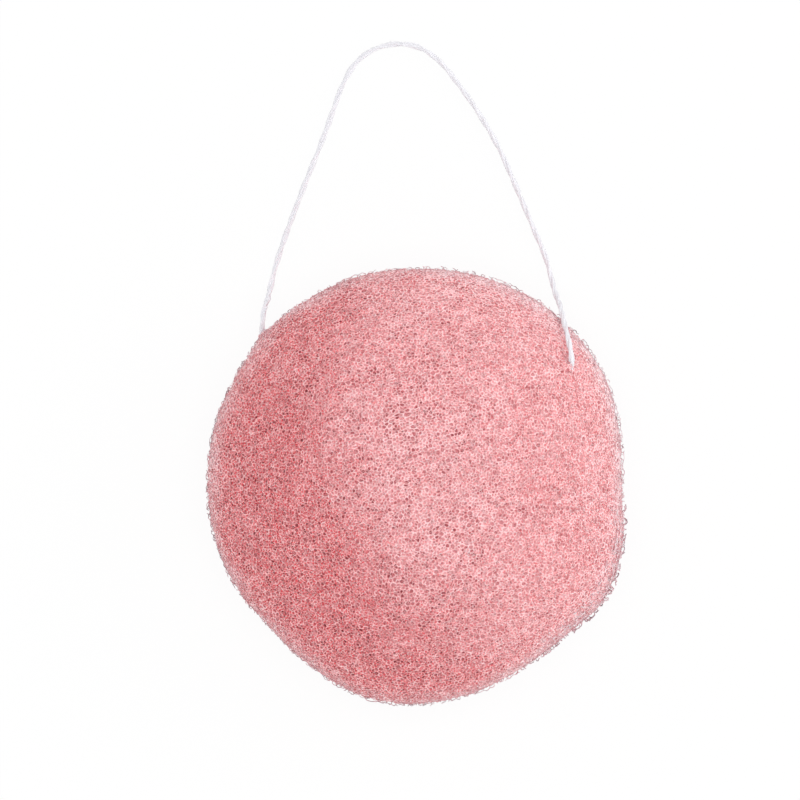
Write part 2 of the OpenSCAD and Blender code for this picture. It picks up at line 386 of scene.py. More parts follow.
@dataclass(frozen=True)
class FoamFinish:
    """Dyed konjac foam, cast in a half-ball mould, freeze-set and damp.

    The gel is a little translucent, so that light softens between its cells, and its dye sits unevenly; the dye
    ramp also holds painted shade, darker and redder low down and on the lower left. The walls stand out pale,
    palest on the crown, where a painted highlight lies, and the cells are red inside and painted darker the
    deeper they are, which is painted shade.
    """

    wall_pale: str = "#FFC4C8"
    wall_red: str = "#DE4E56"
    # Painted light: the walls near the rim pale to this colour.
    wall_rim: str = "#F7EAED"
    thread: str = "#FFDFE0"
    # Pit colours: the deeper the cell, the darker, as painted shade; the dyed ones, low down and on the lower
    # left, are partly painted shade too.
    pit: str = "#EE8B90"
    pit_dyed_shaded: str = "#CE6C72"
    deep: str = "#AE525B"
    deep_dyed_shaded: str = "#8E323B"
    # Painted light: the cells near the rim take this paler colour.
    pit_rim: str = "#CC8993"
    blotch: float = 7.0 * MM
    speck: float = 0.35 * MM
    web: float = 0.55 * MM
    web_edge: Pair = (0.04, 0.2)
    thread_share: float = 0.7
    calm: float = -0.65
    # Partly painted light: walls paler where the dye ramp is weak, on the right and high up.
    pale_lit_side: float = 0.45
    # Painted highlight: the walls pale towards the crown between these heights, by these tones.
    crown_highlight_z: Pair = (32 * MM, 36 * MM)
    crown_highlight_tone: Pair = (0.1, 0.22)
    tones: Pair = (0.72, 1.22)
    dye_and_shade: DyeAndShadeRamp = DyeAndShadeRamp()
    roughness: float = 0.62
    grit: float = 0.04 * MM
    glow: float = 0.25
    glow_reach: Point = (1.2 * MM, 0.6 * MM, 0.5 * MM)
    fuzz: float = 0.7
    fuzz_tint: str = "#FFEDEF"

    def wall_tone(self, add: Adder, place: Socket, dye_and_shade: Node, speck: Node) -> Node:
        """Adds the unevenness of the walls: cloudy where the dye is strong, paler on the right side and high up
        as partly painted light, and palest on the crown as a painted highlight.

        Args:
            add: Adds a node to the material.
            place: Object coordinates.
            dye_and_shade: How weak the dye and the painted shade are.
            speck: Fine grain.

        Returns:
            Node that gives 0 for a red wall and 1 for a pale one.
        """
        blotch = {"Vector": place, "Scale": 1 / self.blotch, "Detail": 3.0, "Roughness": 0.6}
        cloud = add("ShaderNodeMath", [add("ShaderNodeTexNoise", blotch), -0.5], operation="ADD")
        uneven = add("ShaderNodeMath", [dye_and_shade, self.calm, 1.0], operation="MULTIPLY_ADD")
        cloud = add("ShaderNodeMath", [cloud, uneven, speck], operation="MULTIPLY_ADD")
        level = add("ShaderNodeSeparateXYZ", [place]).outputs["Z"]
        # Painted highlight: the walls pale towards the crown.
        crown = add("ShaderNodeMapRange", [level, *self.crown_highlight_z, *self.crown_highlight_tone])
        # Partly painted light: walls paler on the right and high up, with the dye ramp.
        side = add("ShaderNodeMath", [dye_and_shade, self.pale_lit_side, crown], operation="MULTIPLY_ADD")
        both = add("ShaderNodeMath", [cloud, side], operation="ADD")
        return add("ShaderNodeMapRange", [both, *self.tones])

    def material(self) -> Material:
        """Builds the foam's material: walls, the threads on them, and cells painted darker with their depth as
        painted shade, and paler near the rim as painted light.

        Returns:
            The material.
        """
        material, add = new_material("konjac_foam_cast_damp")
        place = add("ShaderNodeTexCoord").outputs["Object"]
        speck = add("ShaderNodeTexNoise", {"Vector": place, "Scale": 1 / self.speck, "Detail": 1.0})
        # Dye ramp, partly painted shade: darker and redder low down and on the lower left, away from the light.
        dye_and_shade = self.dye_and_shade.share(add, place)
        tone = self.wall_tone(add, place, dye_and_shade, speck)
        web = {"Vector": place, "Scale": 1 / self.web}
        web = add("ShaderNodeTexVoronoi", web, feature="DISTANCE_TO_EDGE")
        thread = add("ShaderNodeMapRange", [web, *self.web_edge, self.thread_share, 0.0])
        # rim: the skin painted paler near the edge, painted light; pit: cells painted darker with depth,
        # painted shade.
        marks = (Mark.RIM.value, Mark.PIT.value)
        rim, pit = (add("ShaderNodeAttribute", attribute_name=mark).outputs["Fac"] for mark in marks)
        wall = linear(self.wall_red)
        for share, colour in ((tone, self.wall_pale), (thread, self.thread), (rim, self.wall_rim)):
            wall = add("ShaderNodeMix", {0: share, 6: wall, 7: linear(colour)}, data_type="RGBA")
        # Pits darker and redder on the lower left, partly dye and partly painted shade, and darker with depth
        # as painted shade.
        dyes = ((self.deep_dyed_shaded, self.deep), (self.pit_dyed_shaded, self.pit))
        deep, dusk = (
            add("ShaderNodeMix", {0: dye_and_shade, 6: linear(strong), 7: linear(weak)}, data_type="RGBA")
            for strong, weak in dyes
        )
        for share, colour in ((pit, deep), (rim, linear(self.pit_rim))):
            dusk = add("ShaderNodeMix", {0: share, 6: dusk, 7: colour}, data_type="RGBA")
        skin = add("ShaderNodeMix", {0: pit, 6: wall, 7: dusk}, data_type="RGBA")
        bump = add("ShaderNodeBump", {"Height": speck, "Strength": 0.25, "Distance": self.grit})
        looks = {
            "Base Color": skin, "Normal": bump, "Roughness": self.roughness, "IOR": GEL_IOR,
            "Subsurface Weight": self.glow, "Subsurface Radius": self.glow_reach, "Subsurface Scale": 1.0,
            "Sheen Weight": self.fuzz, "Sheen Roughness": 0.5, "Sheen Tint": linear(self.fuzz_tint),
        }
        add("ShaderNodeOutputMaterial", {"Surface": add("ShaderNodeBsdfPrincipled", looks)})
        return material


@dataclass(frozen=True)
class StrandFinish:
    """Free cell walls of the same gel: thin, wet strands, paler than the skin, tinted redder low down and on
    the lower left as dye and painted shade, and greyer at the rim, or for the foam's fibres paler there as
    painted light.
    """

    name: str = "konjac_foam_strands"
    pale: str = "#FFF7F9"
    dusky: str = "#F3CBD2"
    # Redder tint by the dye ramp, partly painted shade.
    dyed_shaded: str = "#E9A5AE"
    free: str = "#BE9CA5"
    patch: float = 0.7 * MM
    patch_edge: Pair = (0.35, 0.65)
    dyed_shaded_share: float = 0.5
    through: float = 0.3
    roughness: float = 0.45
    dye_and_shade: DyeAndShadeRamp = DyeAndShadeRamp()

    def material(self) -> Material:
        """Builds the strands' material: patches of two tones, tinted by the dye and painted shade, and grey
        where free, or pale near the rim as painted light.

        Returns:
            The material.
        """
        material, add = new_material(self.name)
        place = add("ShaderNodeTexCoord").outputs["Object"]
        patch = add("ShaderNodeTexNoise", {"Vector": place, "Scale": 1 / self.patch, "Detail": 2.0})
        tone = add("ShaderNodeMapRange", [patch, *self.patch_edge])
        # Dye ramp, partly painted shade.
        dye_and_shade = add("ShaderNodeMapRange", [self.dye_and_shade.share(add, place), 0, 1, self.dyed_shaded_share, 0.0])
        rim = add("ShaderNodeAttribute", attribute_name=Mark.RIM.value).outputs["Fac"]
        tint = linear(self.dusky)
        for share, colour in ((tone, self.pale), (dye_and_shade, self.dyed_shaded), (rim, self.free)):
            tint = add("ShaderNodeMix", {0: share, 6: tint, 7: linear(colour)}, data_type="RGBA")
        looks = {"Base Color": tint, "Roughness": self.roughness, "IOR": GEL_IOR}
        shader = add("ShaderNodeBsdfPrincipled", looks)
        through = add("ShaderNodeBsdfTranslucent", {"Color": tint})
        mixed = add("ShaderNodeMixShader", [self.through, shader, through])
        add("ShaderNodeOutputMaterial", {"Surface": mixed})
        return material


@dataclass(frozen=True)
class CottonFinish:
    """Bleached two-ply cotton string: matt, faintly violet white, with the fine mottling of its fibres."""

    name: str = "bleached_cotton_twisted"
    white: str = "#EFEEF2"
    shade: str = "#D3D2D9"
    fibre: float = 0.12 * MM
    fibre_edge: Pair = (0.3, 0.6)
    relief: float = 0.03 * MM
    roughness: float = 0.8
    fuzz: float = 0.15

    def material(self) -> Material:
        """Builds the string's material.

        Returns:
            The material.
        """
        material, add = new_material(self.name)
        place = add("ShaderNodeTexCoord").outputs["Object"]
        fibre = add("ShaderNodeTexNoise", {"Vector": place, "Scale": 1 / self.fibre, "Detail": 2.0})
        tone = add("ShaderNodeMapRange", [fibre, *self.fibre_edge])
        tint = {0: tone, 6: linear(self.shade), 7: linear(self.white)}
        looks = {
            "Base Color": add("ShaderNodeMix", tint, data_type="RGBA"),
            "Normal": add("ShaderNodeBump", {"Height": fibre, "Strength": 0.4, "Distance": self.relief}),
            "Roughness": self.roughness, "IOR": 1.5, "Sheen Weight": self.fuzz,
        }
        add("ShaderNodeOutputMaterial", {"Surface": add("ShaderNodeBsdfPrincipled", looks)})
        return material


# The puff


@dataclass(frozen=True)
class PuffForm:
    """Outer form of the foam puff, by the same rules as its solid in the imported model.

    The outline's shares stand at even angles from +X. A facet flattens the dome on one side. It has a heading
    in degrees, a distance as a share of the half width, a height as a share of the puff's, and a slope.
    """

    width: float = 78.5 * MM
    length: float = 82 * MM
    height: float = 36 * MM
    widest_z: float = 11 * MM
    tuck_in: float = 4 * MM
    crown: Pair = (3 * MM, 1.5 * MM)
    facet_soft: float = 6 * MM
    plan_share: float = 2.2
    tuck_share: float = 2.2
    edge_round: float = 1.1 * MM
    outline_shares: tuple[float, ...] = (
        0.963, 0.985, 1.02, 1.035, 1.035, 1.03, 1.02, 1.02, 1.015, 1.01, 0.99, 0.985,
        0.98, 0.975, 0.965, 0.95, 0.975, 1.01, 1.015, 1, 0.985, 0.99, 1.03, 1.005,
    )
    facets: tuple[tuple[float, float, float, float], ...] = (
        (220, 0.42, 0.94, 0.66), (166, 0.55, 0.92, 0.78), (275, 0.66, 0.86, 0.74),
    )
    outline_points: int = 48
    stations: tuple[int, int, int, int] = (181, 60, 13, 80)

    @property
    def half_mean(self) -> float:
        """Mean half width of the outline."""
        return (self.width + self.length) / 4

    def plain_edge(self, turn: Array) -> Array:
        """Outline by its shares alone, before it is fitted to the width and length.

        Args:
            turn: Angles from +X, in radians.

        Returns:
            A point for each angle.
        """
        shares = np.array(self.outline_shares)
        spot = (turn / FULL_TURN * len(shares)) % len(shares)
        low = np.floor(spot).astype(int)
        share = smooth_curve(*(shares[(low + i) % len(shares)] for i in (-1, 0, 1, 2)), spot - low)
        return np.stack([np.cos(turn) * share, np.sin(turn) * share], axis=-1)

    def edge(self, turn: Array) -> Array:
        """Outline of the puff at its widest level, seen from above.

        Args:
            turn: Angles from +X, in radians.

        Returns:
            A point for each angle.
        """
        ring = self.plain_edge(np.arange(self.outline_points) * FULL_TURN / self.outline_points)
        low, high = ring.min(axis=0), ring.max(axis=0)
        return (self.plain_edge(turn) - (low + high) / 2) * np.array([self.width, self.length]) / (high - low)

    def place(self, turn: Array, reach: Array, lean: Array, height: Array) -> Array:
        """Places points on the form.

        Args:
            turn: Angle of each point.
            reach: Share of the outline's radius.
            lean: Share of the crown's offset, above 0 only on the dome.
            height: Height before the facets are cut.

        Returns:
            The points, one row each.
        """
        plan = self.edge(turn) * reach[:, None] + np.array(self.crown) * lean[:, None]
        level = height.copy()
        for heading, far, high, slope in self.facets:
            way = np.array([math.cos(math.radians(heading)), math.sin(math.radians(heading))])
            patch = high * self.height - slope * (plan @ way - far * self.half_mean)
            gap = np.maximum(self.facet_soft - np.abs(level - patch), 0)
            level = np.minimum(level, patch) - gap**2 / (4 * self.facet_soft)
        level = np.where(height > self.widest_z, np.maximum(level, self.widest_z), height)
        return np.column_stack([plan, level])

    def meridian(self) -> tuple[Array, Array]:
        """Stations from the crown down the dome and side, round the lower edge and in to the base's middle.

        Returns:
            Rows of reach, lean and height, and how far along the surface each row is.
        """
        on_dome, on_side, on_edge, on_base = self.stations
        up = np.linspace(0, QUARTER_TURN, on_dome)
        share = np.sin(up) ** (2 / self.plan_share)
        dome = np.column_stack([share, 1 - share, self.widest_z + (self.height - self.widest_z) * np.cos(up)])
        low = np.linspace(0, 1 - self.edge_round / self.widest_z, on_side)[1:]
        narrow = 1 - self.tuck_in / self.half_mean * low**self.tuck_share
        side = np.column_stack([narrow, 0 * low, self.widest_z * (1 - low)])
        bend = np.linspace(0, QUARTER_TURN, on_edge)[1:]
        inner = narrow[-1] - self.edge_round / self.half_mean
        round_reach = inner + (narrow[-1] - inner) * np.cos(bend)
        corner = np.column_stack([round_reach, 0 * bend, self.edge_round * (1 - np.sin(bend))])
        flat = np.linspace(inner, 0, on_base)[1:]
        rows = np.vstack([dome, side, corner, np.column_stack([flat, 0 * flat, 0 * flat])])
        steps = np.hypot(np.diff(rows[:, 0]) * self.half_mean, np.diff(rows[:, 2]))
        return rows, np.concatenate([[0], np.cumsum(steps)])

    def radius_at(self, turn: Array, height: Array) -> Array:
        """How far the form reaches from its middle line at a height, without its facets.

        Args:
            turn: Angle of each place.
            height: Height of each place.

        Returns:
            A radius for each place.
        """
        up = np.clip((height - self.widest_z) / (self.height - self.widest_z), 0, 1)
        low = np.clip((self.widest_z - height) / self.widest_z, 0, 1)
        share = (1 - up**2) ** (1 / self.plan_share) - self.tuck_in / self.half_mean * low**self.tuck_share
        return lengths(self.edge(turn)) * share


@dataclass(frozen=True)
class RimPlan:
    """How wide the lacy rim is round the puff, where the foam has thinned to loose cell walls.

    The widths, in millimetres, stand at even angles from +X. A thin band of the skin is painted pale and patchy
    all round, and paler under the lace: painted light that lifts the shade of the steep side and stands in for
    light through the thin edge, partly also the lace's open gaps.
    """

    widths: tuple[float, ...] = (
        1.2, 1.2, 1.2, 1.2, 1.0, 0.9, 0.8, 0.7, 0.6, 0.5, 0.45, 0.4,
        0.4, 0.4, 0.4, 0.45, 0.5, 0.7, 0.9, 0.9, 1.1, 1.8, 3.0, 2.2,
    )
    inset: float = 0.22
    inset_power: int = 6
    ragged: Noises = ((0.3, 2.6 * MM, 15),)
    # Painted light: a pale band all round the rim that lifts the steep side's shade.
    thin: float = 0.5
    thin_reach: Pair = (-0.4, 3.2)
    patches: Noises = ((0.9, 5 * MM, 16), (0.5, 1.6 * MM, 17))
    # Painted light under the lace, paler where the lace is wide, partly the lace's open gaps.
    lace_from: float = 0.3
    lace_fade: Pair = (0.5, 1.6)
    lace_full: float = 1.2
    under_lace: Pair = (0.55, 0.25)
    under_wide: Pair = (1.3, 2.2)
    pale_to: float = 10 * MM
    inset_to: float = 8 * MM
    least_far: float = 0.01 * MM

    def width(self, turn: Array) -> Array:
        """Width of the lacy rim at each angle."""
        spots = np.arange(len(self.widths) + 1) * FULL_TURN / len(self.widths)
        return np.interp(turn % FULL_TURN, spots, (*self.widths, self.widths[0])) * MM

    def nearness(self, points: Array, form: PuffForm) -> Array:
        """How strongly each place near the rim is painted pale, as painted light of the thin, backlit edge.

        Args:
            points: Places on the skin.
            form: The full form.

        Returns:
            From 0 away from the rim to 1 at the widest lace.
        """
        turn, far = polar(points)
        left = (lengths(form.edge(turn)) - far) / MM
        width = self.width(turn) / MM
        reach, spread = self.lace_fade
        lacy = 1 - smooth_step((left - self.lace_from * width) / (reach + spread * width), 0, 1)
        lacy = lacy * np.minimum(1, width / self.lace_full)
        narrow, wide = self.under_lace
        lacy = lacy * (narrow - (narrow - wide) * smooth_step(width, *self.under_wide))
        thin = self.thin * (1 - smooth_step(left + mixed_noise(points, self.patches), *self.thin_reach))
        return np.maximum(lacy, thin) * smooth_step(points[:, 2], 0, self.pale_to)

    def drawn_in(self, points: Array, form: PuffForm) -> Array:
        """Moves the foam's skin in where the lace takes its place.

        Args:
            points: Places on the full form.
            form: The full form.

        Returns:
            The places of the skin.
        """
        turn, far = polar(points)
        share = far / lengths(form.edge(turn))
        ragged = 1 + mixed_noise(points, self.ragged)
        shift = self.inset * self.width(turn) * ragged * share**self.inset_power
        shift = shift * smooth_step(points[:, 2], 0, self.inset_to)
        moved = points.copy()
        moved[:, :2] *= ((far - shift) / np.maximum(far, self.least_far))[:, None]
        return moved


def zipped(inner: list[int], outer: list[int], angle: Array) -> list[Face]:
    """Joins two rings of points with triangles, always to the next point by angle.

    Args:
        inner: Point numbers of the ring nearer the crown.
        outer: Point numbers of the next ring.
        angle: Angles of all points.

    Returns:
        Triangles that face outwards.
    """
    a, b = len(inner), len(outer)
    if a == 1:
        return [(inner[0], outer[i], outer[(i + 1) % b]) for i in range(b)]
    if b == 1:
        return [(inner[(i + 1) % a], inner[i], outer[0]) for i in range(a)]
    start = angle[inner[0]]
    gaps = [abs((angle[o] - start + math.pi) % FULL_TURN - math.pi) for o in outer]
    shift = gaps.index(min(gaps))
    outer = outer[shift:] + outer[:shift]
    first = (angle[outer[0]] - start + math.pi) % FULL_TURN - math.pi
    near = [(angle[p] - start) % FULL_TURN for p in inner] + [FULL_TURN]
    far = [first + (angle[p] - angle[outer[0]]) % FULL_TURN for p in outer] + [first + FULL_TURN]
    faces, i, j = [], 0, 0
    for _, on_outer in sorted([(v, False) for v in near[1:]] + [(v, True) for v in far[1:]]):
        if on_outer:
            faces.append((inner[i % a], outer[j], outer[(j + 1) % b]))
            j += 1
        else:
            faces.append((inner[i], outer[j % b], inner[(i + 1) % a]))
            i += 1
    return faces


def net_faces(turns: list[Array]) -> list[Face]:
    """Triangles of a net whose points are numbered ring by ring.

    Args:
        turns: Angles of each ring's points.

    Returns:
        The triangles.
    """
    ends = np.cumsum([0, *map(len, turns)])
    rings = [list(range(*pair)) for pair in itertools.pairwise(ends)]
    angle = np.concatenate(turns)
    return [face for pair in itertools.pairwise(rings) for face in zipped(*pair, angle)]


@dataclass(frozen=True)
class FoamSkin:
    """Skin of the foam: a net of pale cell walls with an open cell in each mesh of the net.

    The cells are the dual of a loose triangle net whose points lie one cell apart on the form. Each cell is
    drawn in to leave its wall, and pushed in to its own depth. Cells are deeper in some patches than in
    others, and shallower towards the crown and the right. The widest, where points are missing, have a film.
    """

    form: PuffForm
    rim: RimPlan
    mouths: tuple[Point, ...]
    cell: float = 0.6 * MM
    base_cell: float = 0.95 * MM
    scatter: float = 0.44
    missing: float = 0.14
    scatter_from: int = 5
    missing_from: int = 20
    last_ring: float = 0.4
    steep: Pair = (0.6, 1.0)
    lump: float = 0.35 * MM
    lumps: Noises = ((0.6, 6 * MM, 3), (0.4, 2.4 * MM, 4))
    lump_fade: Pair = (0.3 * MM, 3 * MM)
    mouth_reach: float = 1.9 * MM
    mouth_lip: float = 0.7 * MM
    wide_area: Pair = (0.58e-6, 0.78e-6)  # square metres
    wall_share: float = 0.8
    wall_drop: float = 0.04 * MM
    pit_depth: float = 0.22 * MM
    floor_share: float = 0.7
    corner_scatter: float = 0.06 * MM
    floor_scatter: float = 0.09 * MM
    patch: float = 5 * MM
    calmer_to: Point = (-1.6, -1.4, -6.0)
    calm_x: Pair = (6 * MM, 30 * MM)
    calm: Pair = (-0.43, -0.64)
    patch_share: float = 0.8
    open_range: Pair = (0.05, 1.0)
    open_power: float = 2.0
    wall_shares: Pair = (0.82, 1.13)
    pit_shares: Pair = (0.45, 1.6)
    # Painted shade: a cell's colour darkens with its depth, between these shares.
    pit_shade_tones: Pair = (0.42, 1.0)
    wide_shallow: float = 0.45
    wide_floor: float = 0.18
    wide_tone: float = 0.7
    pit_lean: Point = (0, 0, 0.7)
    base_share: float = 0.885
    base_to: float = 0.9 * MM
    map_places: tuple[Pair, Pair] = ((0.325, 0.158), (0.79, 0.19))
    seed: int = 11

    @property
    def sizes(self) -> dict[str, float | int]:
        """The tree's named sizes."""
        return {
            "Wall Share": self.wall_share, "Wall Drop": self.wall_drop, "Pit Depth": self.pit_depth,
            "Floor Share": self.floor_share, "Corner Scatter": self.corner_scatter,
            "Floor Scatter": self.floor_scatter, "Seed": self.seed,
        }

    def net(self) -> tuple[Array, list[Face]]:
        """Lays the loose triangle net over the form, ring by ring from the crown to the base's middle.

        Returns:
            The net's points and its triangles.
        """
        rng = np.random.default_rng(self.seed)
        rows, along = self.form.meridian()
        flat_from = np.interp(0, TINY - rows[:, 2], along)
        turns, spots, where = [], [], 0.0
        while where < along[-1] - self.base_cell * self.last_ring:
            reach = np.interp(where, along, rows[:, 0])
            cell = np.interp(where, [flat_from, along[-1]], [self.cell, self.base_cell])
            many = max(1, round(FULL_TURN * self.form.half_mean * reach / cell)) if where else 1
            step = FULL_TURN / many
            turn = (np.arange(many) + rng.uniform(0, 1)) * step
            spot = np.full(many, where)
            if many > self.scatter_from:
                turn = turn + rng.uniform(-self.scatter, self.scatter, many) * step
                spot = spot + rng.uniform(-self.scatter, self.scatter, many) * cell * ROW
            if many > self.missing_from:
                kept = rng.random(many) > self.missing
                turn, spot = turn[kept], spot[kept]
            turns.append(turn)
            spots.append(spot)
            steep = np.interp(where + cell, along, rows[:, 2]) - np.interp(where, along, rows[:, 2])
            where += cell * ROW * (1 + smooth_step(abs(steep) / cell, *self.steep))
        turns.append(np.zeros(1))
        spots.append(along[-1:])
        spot = np.concatenate(spots)
        reach, lean, height = (np.interp(spot, along, rows[:, i]) for i in range(3))
        return self.form.place(np.concatenate(turns), reach, lean, height), net_faces(turns)

    def shaped(self, points: Array) -> Array:
        """Draws the skin in for the lace, gives it soft lumps and a low lip where the string goes in.

        Args:
            points: Places on the full form.

        Returns:
            Places on the skin, outside the form only at the lips.
        """
        skin = self.rim.drawn_in(points, self.form)
        away = unit(skin - np.array([0, 0, self.form.widest_z]))
        near, far = self.lump_fade
        raised = smooth_step(skin[:, 2], 0, far)
        for mouth in self.mouths:
            raised = raised * smooth_step(lengths(skin - np.array(mouth)), near, far)
        deep = 0.5 + 0.5 * mixed_noise(skin, self.lumps)
        skin = skin - away * (deep * self.lump * raised)[:, None]
        for mouth in self.mouths:
            gap = lengths(skin - np.array(mouth))
            skin = skin + away * (self.mouth_lip * (1 - smooth_step(gap, near, self.mouth_reach)))[:, None]
        return skin

    def openness(self, add: Adder, wide: Node) -> Node:
        """Adds how open each cell is, by its own chance, its patch, its place and its width.

        Args:
            add: Adds a node to the tree.
            wide: How wide the cell is.

        Returns:
            Node that gives 0 for a closed cell and 1 for the deepest.
        """
        chance = add("GeometryNodeInputNamedAttribute", [Mark.CELL.value], data_type="FLOAT")
        place = add("GeometryNodeInputPosition")
        cloud = add("ShaderNodeTexNoise", {"Vector": place, "Scale": 1 / self.patch, "Detail": 2.0})
        across = add("ShaderNodeVectorMath", [place, self.calmer_to], operation="DOT_PRODUCT")
        shift = add("ShaderNodeMath", [cloud, across], operation="ADD")
        side = add("ShaderNodeSeparateXYZ", [place]).outputs["X"]
        calm = add("ShaderNodeMapRange", [side, *self.calm_x, *self.calm], interpolation_type="SMOOTHSTEP")
        shift = add("ShaderNodeMath", [shift, calm], operation="ADD")
        mixed = add("ShaderNodeMath", [shift, self.patch_share, chance], operation="MULTIPLY_ADD")
        share = add("ShaderNodeMapRange", [mixed, *self.open_range])
        share = add("ShaderNodeMath", [share, self.open_power], operation="POWER")
        shallow = add("ShaderNodeMapRange", [wide, 0, 1, 1.0, self.wide_shallow])
        return add("ShaderNodeMath", [share, shallow], operation="MULTIPLY")

    def cell_tree(self, material: Material) -> Tree:
        """Tree that turns the triangle net into cells with walls and pits.

        Args:
            material: Finish of the foam.

        Returns:
            The finished tree.
        """
        tree, add, given = new_tree("open_cells", self.sizes)
        size = given.outputs
        loose = {0: (-1, -1, -1), 1: (1, 1, 1), "Seed": size["Seed"]}
        loose = add("FunctionNodeRandomValue", loose, data_type="FLOAT_VECTOR")
        moved, aside = (
            add("ShaderNodeVectorMath", {0: loose, "Scale": size[label]}, operation="SCALE")
            for label in ("Corner Scatter", "Floor Scatter")
        )
        cells = add("GeometryNodeDualMesh", [size["Geometry"]])
        cells = add("GeometryNodeSetPosition", {"Geometry": cells, "Offset": moved})
        draw = add("FunctionNodeRandomValue", {"Seed": size["Seed"]}, data_type="FLOAT")
        wide = add("ShaderNodeMapRange", [add("GeometryNodeInputMeshFaceArea"), *self.wide_area])
        for mark, value in ((Mark.CELL, draw), (Mark.WIDE, wide)):
            stored = {"Geometry": cells, "Name": mark.value, "Value": value}
            cells = add("GeometryNodeStoreNamedAttribute", stored, data_type="FLOAT", domain="FACE")
        wide = add("GeometryNodeInputNamedAttribute", [Mark.WIDE.value], data_type="FLOAT")
        strength = self.openness(add, wide)
        normal = add("GeometryNodeInputNormal")
        drop = add("ShaderNodeMath", [size["Wall Drop"], -1.0], operation="MULTIPLY")
        draw = {**dict(enumerate(self.wall_shares, 2)), "Seed": size["Seed"]}
        thin = add("FunctionNodeRandomValue", draw, data_type="FLOAT")
        thin = add("ShaderNodeMath", [thin, size["Wall Share"]], operation="MULTIPLY")
        depth = add("ShaderNodeMapRange", [strength, 0, 1, *self.pit_shares])
        depth = add("ShaderNodeMath", [depth, size["Pit Depth"]], operation="MULTIPLY")
        inward = add("ShaderNodeMath", [depth, -1.0], operation="MULTIPLY")
        heading = add("ShaderNodeVectorMath", [normal, self.pit_lean], operation="ADD")
        sunk = add("ShaderNodeVectorMath", {0: heading, "Scale": inward}, operation="SCALE")
        sunk = add("ShaderNodeVectorMath", [sunk, aside], operation="ADD")
        flat = add("ShaderNodeMath", [wide, self.wide_floor, size["Floor Share"]], operation="MULTIPLY_ADD")
        top = True
        for offset, factor, share in ((normal, drop, thin), (sunk, 1.0, flat)):
            push = {"Mesh": cells, "Selection": top, "Offset": offset, "Offset Scale": factor}
            pushed = add("GeometryNodeExtrudeMesh", {**push, "Individual": True}, mode="FACES")
            top = pushed.outputs["Top"]
            draw_in = {"Geometry": pushed, "Selection": top, "Scale": share}
            cells = add("GeometryNodeScaleElements", draw_in, domain="FACE")
        # Painted shade: deeper cells are darker; the widest cells keep their film's own dusky tone.
        dark = add("ShaderNodeMapRange", [strength, 0, 1, *self.pit_shade_tones])
        film = add("ShaderNodeMath", [wide, self.wide_tone], operation="MULTIPLY")
        dark = add("ShaderNodeMath", [dark, film], operation="MAXIMUM")
        stored = {"Geometry": cells, "Selection": top, "Name": Mark.PIT.value, "Value": dark}
        cells = add("GeometryNodeStoreNamedAttribute", stored, data_type="FLOAT", domain="POINT")
        close_tree(add, cells, material)
        return tree

    def unwrapped(self, mesh: Mesh) -> None:
        """Gives the skin its own UV map: the dome and side spread round the crown, and the base beside them.

        Args:
            mesh: Mesh of the skin.
        """
        form = self.form
        faces = read(mesh.polygons, "center", 3)
        inside = polar(faces)[1] < self.base_share * form.half_mean
        under = (faces[:, 2] < self.base_to) & inside
        under = np.repeat(under, read(mesh.polygons, "loop_total", kind=np.int32))
        at = read(mesh.vertices, "co", 3).astype(float)[read(mesh.loops, "vertex_index", kind=np.int32)]
        turn, out = polar(at)
        fall = np.arctan2(out / form.half_mean, (at[:, 2] - form.widest_z) / (form.height - form.widest_z))
        (middle, size), (base_middle, base_size) = self.map_places
        top = np.column_stack([np.cos(turn), np.sin(turn)]) * (fall * size)[:, None] + middle
        lay_uv(mesh, np.where(under[:, None], at[:, :2] / form.half_mean * base_size + base_middle, top))

    def build(self, material: Material) -> Object:
        """Makes the finished skin.

        Args:
            material: Finish of the foam.

        Returns:
            The piece.
        """
        points, faces = self.net()
        points = self.shaped(points)
        piece = mesh_of("foam_puff", points, [], faces)
        # Painted light: the skin is marked to be painted paler near the rim.
        point_values(piece.data, Mark.RIM, self.rim.nearness(points, self.form))
        net = bmesh.new()
        net.from_mesh(piece.data)
        parts = {"faces": net.faces[:], "edges": net.edges[:]}
        bmesh.ops.beautify_fill(net, **parts, use_restrict_tag=False, method="ANGLE")
        bmesh.ops.recalc_face_normals(net, faces=net.faces[:])
        net.to_mesh(piece.data)
        net.free()
        piece = grown(piece, self.cell_tree(material), self.sizes, "foam_puff")
        self.unwrapped(piece.data)
        return piece


